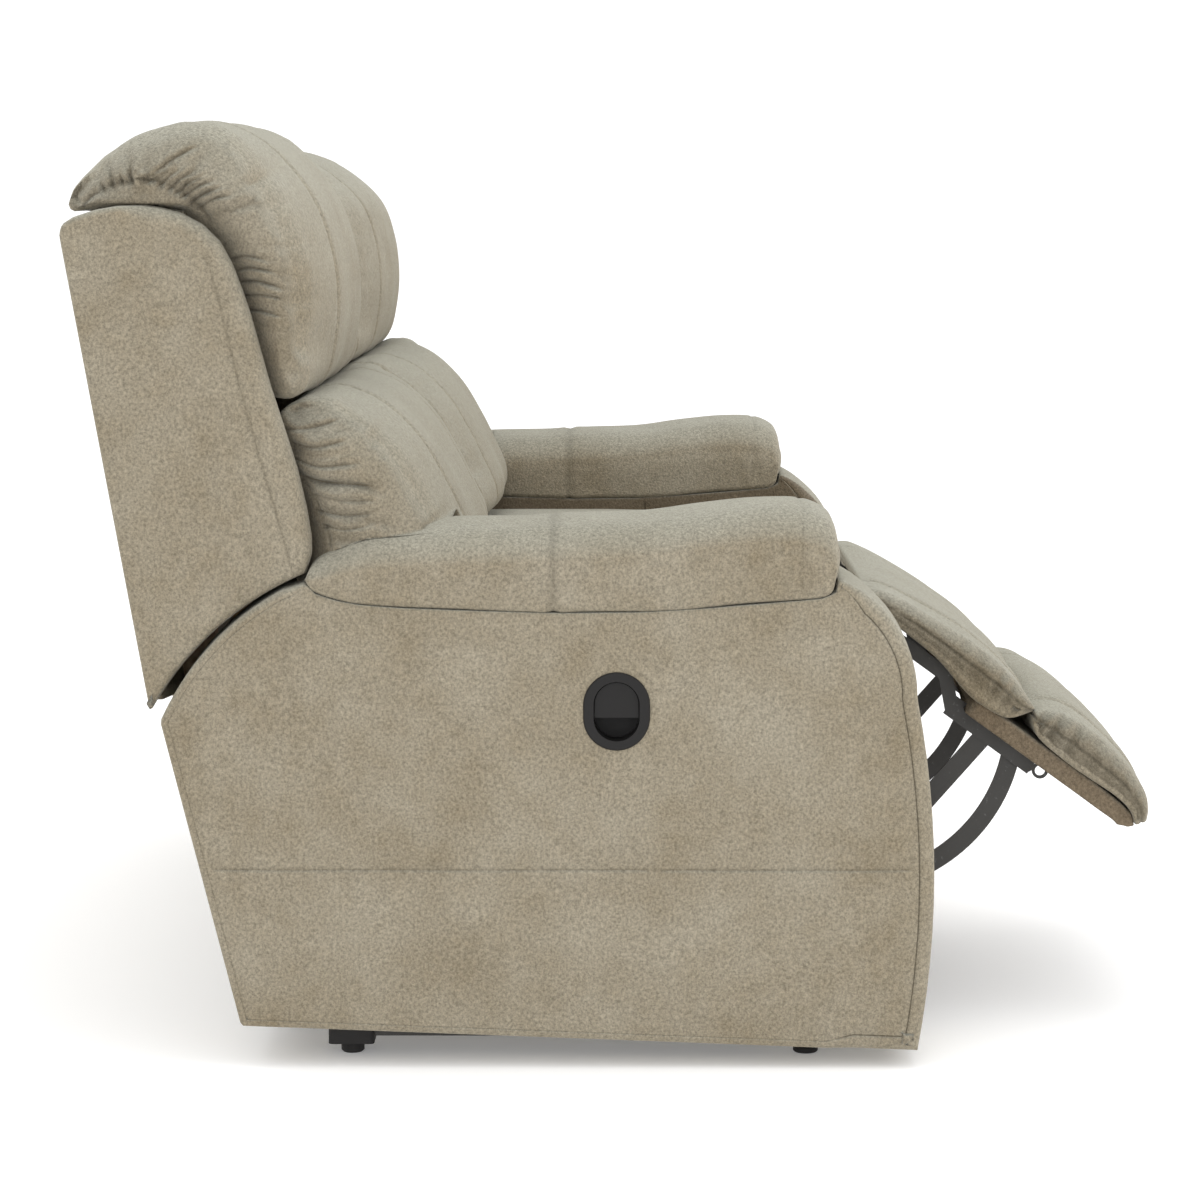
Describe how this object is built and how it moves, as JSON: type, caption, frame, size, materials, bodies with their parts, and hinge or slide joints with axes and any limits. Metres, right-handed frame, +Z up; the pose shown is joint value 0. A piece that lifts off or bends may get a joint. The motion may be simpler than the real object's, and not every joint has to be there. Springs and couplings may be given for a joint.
{
  "type": "reclining loveseat",
  "caption": "Upholstered two-place reclining sofa: pillow backs that recline, linkage footrests that fold out, padded arms with recessed release levers.",
  "frame": {"origin": "on the floor, under the middle of the whole part's box", "axes": "+X towards the sitter's left along the width, -Y to the front where the sitter's feet point, +Z up"},
  "size_m": [1.612, 1.2339, 1.037],
  "materials": {
    "suede_cover": "mottled micro-suede, soft nap",
    "timber": "raw hardwood",
    "dark_steel": "dark grey powder coat",
    "rivet_steel": "zinc rivets",
    "spring_wire": "spring wire",
    "handle_plastic": "satin black",
    "foot_plastic": "matt black"
  },
  "bodies": {
    "base": {"arm_skids": "dark_steel", "front_glides": "foot_plastic", "front_rail": "suede_cover", "left_arm_cover": "suede_cover", "left_arm_frame": "timber", "left_arm_pad": "suede_cover", "left_base_rails": "dark_steel", "left_handle_bezel": "handle_plastic", "middle_beam": "timber", "rear_feet": "foot_plastic", "rear_rail": "suede_cover", "right_arm_cover": "suede_cover", "right_arm_frame": "timber", "right_arm_pad": "suede_cover", "right_base_rails": "dark_steel", "right_handle_bezel": "handle_plastic"},
    "right_back": {"right_back_panel": "suede_cover", "right_outer_wing": "suede_cover", "right_inner_wing": "suede_cover", "right_back_frame": "timber", "right_back_brackets": "dark_steel", "right_head_pillow": "suede_cover", "right_lumbar_pillow": "suede_cover"},
    "right_seat": {"right_seat_side_plates": "dark_steel", "right_seat_pins": "rivet_steel", "right_seat_frame": "timber", "right_seat_springs": "spring_wire", "right_seat_cushion": "suede_cover"},
    "right_footrest": {"right_footrest_brackets": "dark_steel", "right_footrest_board": "suede_cover", "right_footrest_pad": "suede_cover", "right_chaise_pad": "suede_cover"},
    "right_rear_link_pair": {"right_rear_links": "dark_steel", "right_link_pins": "rivet_steel"},
    "right_straight_link_pair": {"right_straight_links": "dark_steel"},
    "right_curved_link_pair": {"right_curved_links": "dark_steel"},
    "right_paddle": {"right_handle_paddle": "handle_plastic"},
    "left_back": {"left_back_panel": "suede_cover", "left_outer_wing": "suede_cover", "left_inner_wing": "suede_cover", "left_back_frame": "timber", "left_back_brackets": "dark_steel", "left_head_pillow": "suede_cover", "left_lumbar_pillow": "suede_cover"},
    "left_seat": {"left_seat_side_plates": "dark_steel", "left_seat_pins": "rivet_steel", "left_seat_frame": "timber", "left_seat_springs": "spring_wire", "left_seat_cushion": "suede_cover"},
    "left_footrest": {"left_footrest_brackets": "dark_steel", "left_footrest_board": "suede_cover", "left_footrest_pad": "suede_cover", "left_chaise_pad": "suede_cover"},
    "left_rear_link_pair": {"left_rear_links": "dark_steel", "left_link_pins": "rivet_steel"},
    "left_straight_link_pair": {"left_straight_links": "dark_steel"},
    "left_curved_link_pair": {"left_curved_links": "dark_steel"},
    "left_paddle": {"left_handle_paddle": "handle_plastic"}
  },
  "joints": [
    {"name": "right_recline", "type": "hinge", "parent": "base", "child": "right_back", "pos_m": [-0.3, 0.2338, 0.2574], "axis": [-1, 0, 0], "range_deg": [0, 28]},
    {"name": "right_seat_slide", "type": "slide", "parent": "base", "child": "right_seat", "axis": [0, -1, 0], "range_m": [0, 0.0455]},
    {"name": "right_footrest_fold", "type": "hinge", "parent": "right_seat", "child": "right_footrest", "pos_m": [-0.3, -0.2575, 0.495], "axis": [-1, 0, 0], "range_deg": [-54, 31]},
    {"name": "right_rear_link_turn", "type": "hinge", "parent": "right_seat", "child": "right_rear_link_pair", "pos_m": [-0.3, -0.1315, 0.351], "axis": [-1, 0, 0], "range_deg": [-55, 32]},
    {"name": "right_straight_link_turn", "type": "hinge", "parent": "right_rear_link_pair", "child": "right_straight_link_pair", "pos_m": [-0.3, -0.2875, 0.191], "axis": [-1, 0, 0], "range_deg": [-32, 55]},
    {"name": "right_curved_link_turn", "type": "hinge", "parent": "right_rear_link_pair", "child": "right_curved_link_pair", "pos_m": [-0.3, -0.3155, 0.165], "axis": [-1, 0, 0], "range_deg": [-32, 55]},
    {"name": "right_handle_pull", "type": "hinge", "parent": "base", "child": "right_paddle", "pos_m": [-0.798, 0.0165, 0.42], "axis": [0, 1, 0], "range_deg": [0, 30], "stiffness_Nm_per_rad": 0.5, "springref_deg": -2.86},
    {"name": "left_recline", "type": "hinge", "parent": "base", "child": "left_back", "pos_m": [0.3, 0.2338, 0.2574], "axis": [-1, 0, 0], "range_deg": [0, 28]},
    {"name": "left_seat_slide", "type": "slide", "parent": "base", "child": "left_seat", "axis": [0, -1, 0], "range_m": [0, 0.0455]},
    {"name": "left_footrest_fold", "type": "hinge", "parent": "left_seat", "child": "left_footrest", "pos_m": [0.3, -0.2575, 0.495], "axis": [-1, 0, 0], "range_deg": [0, 85]},
    {"name": "left_rear_link_turn", "type": "hinge", "parent": "left_seat", "child": "left_rear_link_pair", "pos_m": [0.3, -0.1315, 0.351], "axis": [-1, 0, 0], "range_deg": [-1, 86]},
    {"name": "left_straight_link_turn", "type": "hinge", "parent": "left_rear_link_pair", "child": "left_straight_link_pair", "pos_m": [0.3, -0.09375, 0.13075], "axis": [-1, 0, 0], "range_deg": [-86, 1]},
    {"name": "left_curved_link_turn", "type": "hinge", "parent": "left_rear_link_pair", "child": "left_curved_link_pair", "pos_m": [0.3, -0.08918, 0.09281], "axis": [-1, 0, 0], "range_deg": [-86, 1]},
    {"name": "left_handle_pull", "type": "hinge", "parent": "base", "child": "left_paddle", "pos_m": [0.798, 0.0165, 0.42], "axis": [0, -1, 0], "range_deg": [0, 30], "stiffness_Nm_per_rad": 0.5, "springref_deg": -2.86}
  ],
  "couplings": [
    {"joint": "right_seat_slide", "follows": "right_recline", "m_per_rad": 0.092},
    {"joint": "right_rear_link_turn", "follows": "right_footrest_fold", "ratio": 1},
    {"joint": "right_straight_link_turn", "follows": "right_footrest_fold", "ratio": -1},
    {"joint": "right_curved_link_turn", "follows": "right_footrest_fold", "ratio": -1},
    {"joint": "left_seat_slide", "follows": "left_recline", "m_per_rad": 0.092},
    {"joint": "left_rear_link_turn", "follows": "left_footrest_fold", "ratio": 1},
    {"joint": "left_straight_link_turn", "follows": "left_footrest_fold", "ratio": -1},
    {"joint": "left_curved_link_turn", "follows": "left_footrest_fold", "ratio": -1}
  ]
}
